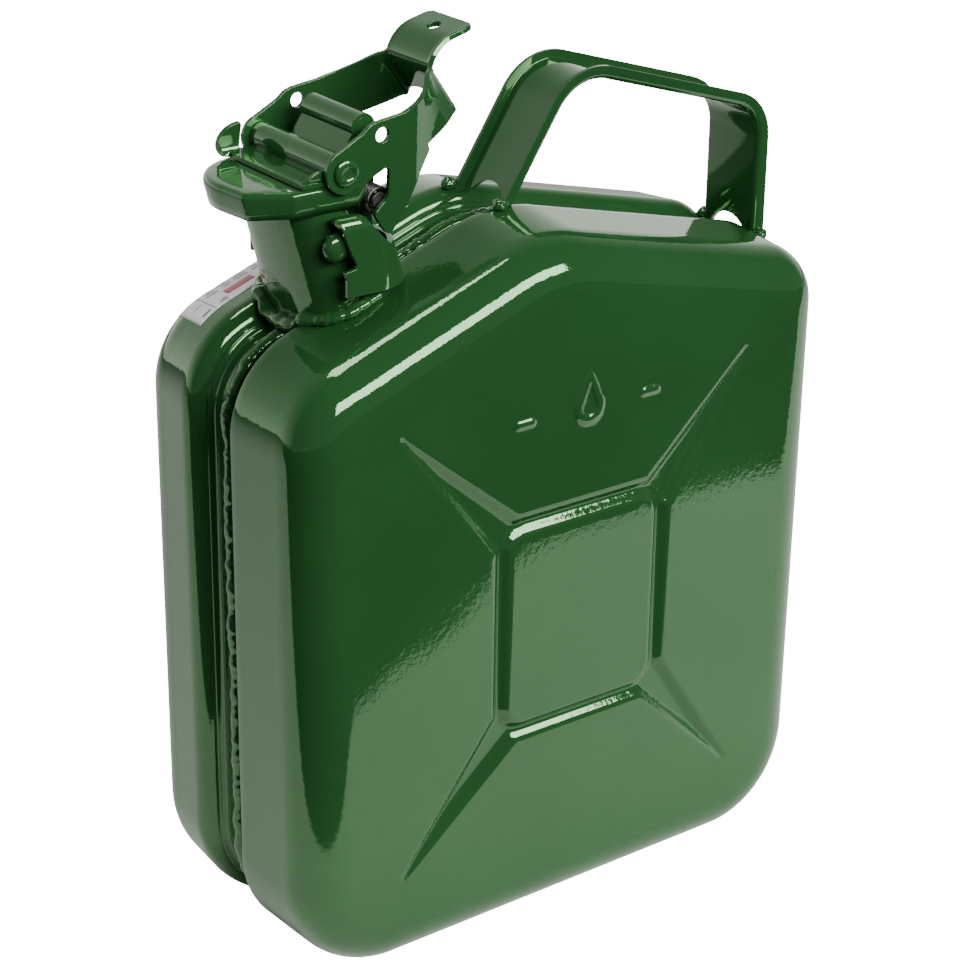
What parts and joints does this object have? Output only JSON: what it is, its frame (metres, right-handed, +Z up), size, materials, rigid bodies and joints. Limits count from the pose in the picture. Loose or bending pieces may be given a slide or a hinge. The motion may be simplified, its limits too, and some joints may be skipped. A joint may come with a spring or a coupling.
{
  "type": "jerry can",
  "caption": "Five-litre pressed-steel jerry can in two welded halves, with a strap carrying handle and a lever-locked hinged lid on an angled oval neck.",
  "frame": {"origin": "On the ground plane, midway along the width and midway between the two pressed faces.", "axes": "+X along the width towards the carrying handle, -Y out of the front face, +Z up."},
  "size_m": [0.24, 0.1116, 0.337],
  "materials": {
    "body_enamel": "high-gloss dark green enamel with faint orange peel",
    "fitting_enamel": "high-gloss green enamel over bent steel strip",
    "weld_enamel": "lumpy weld bead under thick gloss enamel",
    "bare_steel": "dark oiled steel",
    "gasket_rubber": "matt black nitrile",
    "sticker_vinyl": "satin white with one muted red block, no lettering"
  },
  "bodies": {
    "can": {"front_shell": "body_enamel", "rear_shell": "body_enamel", "seam_weld_bead": "weld_enamel", "neck": "body_enamel", "neck_weld_bead": "weld_enamel", "breather_tube": "bare_steel", "hinge_bracket": "fitting_enamel", "hinge_pin": "bare_steel", "torsion_spring_front": "bare_steel", "torsion_spring_rear": "bare_steel", "stud_front": "fitting_enamel", "stud_rear": "fitting_enamel", "carrying_handle": "body_enamel", "handle_weld_left_front": "weld_enamel", "handle_weld_left_rear": "weld_enamel", "handle_weld_right_front": "weld_enamel", "handle_weld_right_rear": "weld_enamel", "sticker": "sticker_vinyl"},
    "lid_assembly": {"lid": "fitting_enamel", "lid_gasket": "gasket_rubber", "lid_strap": "fitting_enamel"},
    "lever_assembly": {"locking_lever": "fitting_enamel", "lever_pin": "fitting_enamel"}
  },
  "joints": [
    {"name": "lid_hinge", "type": "hinge", "parent": "can", "child": "lid_assembly", "pos_m": [-0.0658, 0, 0.2865], "axis": [0, 1, 0], "range_deg": [0, 100]},
    {"name": "lever_pivot", "type": "hinge", "parent": "lid_assembly", "child": "lever_assembly", "pos_m": [-0.0814, 0, 0.2998], "axis": [0, 1, 0], "range_deg": [-100, 0]}
  ],
  "couplings": [
    {"joint": "lever_pivot", "follows": "lid_hinge", "ratio": -1}
  ]
}
